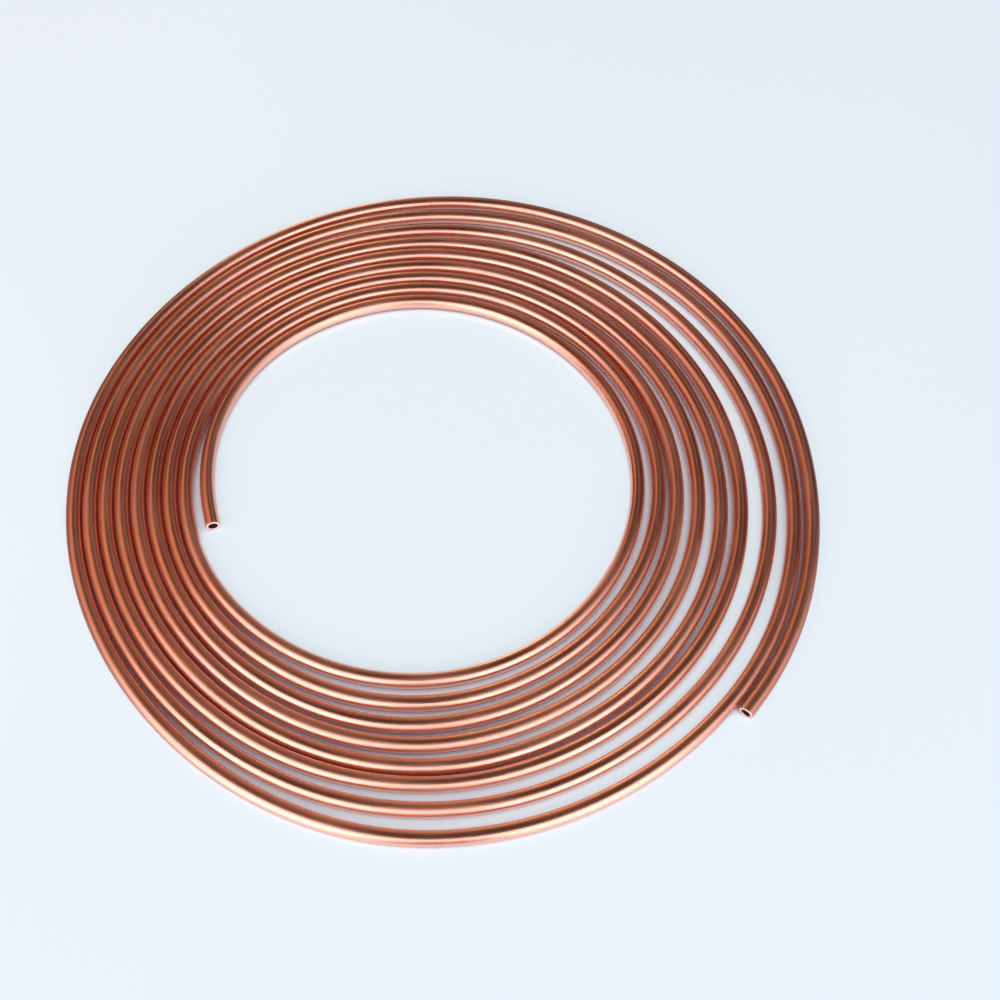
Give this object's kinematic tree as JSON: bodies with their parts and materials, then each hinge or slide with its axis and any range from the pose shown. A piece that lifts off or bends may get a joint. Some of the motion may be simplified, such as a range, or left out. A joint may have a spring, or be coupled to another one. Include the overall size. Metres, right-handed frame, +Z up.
{
  "type": "copper tube coil",
  "caption": "Soft round copper tube wound flat into a one-layer open spiral coil, with an open square-cut end inside and another outside",
  "frame": {"origin": "under the middle of the coil's outline, on the plane that the coil lies on", "axes": "+Z up through the flat coil, +X to the side where the turns stand apart, +Y to the back, away from the outer end"},
  "size_m": [0.2414, 0.241, 0.0047],
  "materials": {
    "copper": "bright drawn copper"
  },
  "bodies": {
    "root": {"copper_tube": "copper"}
  },
  "joints": []
}
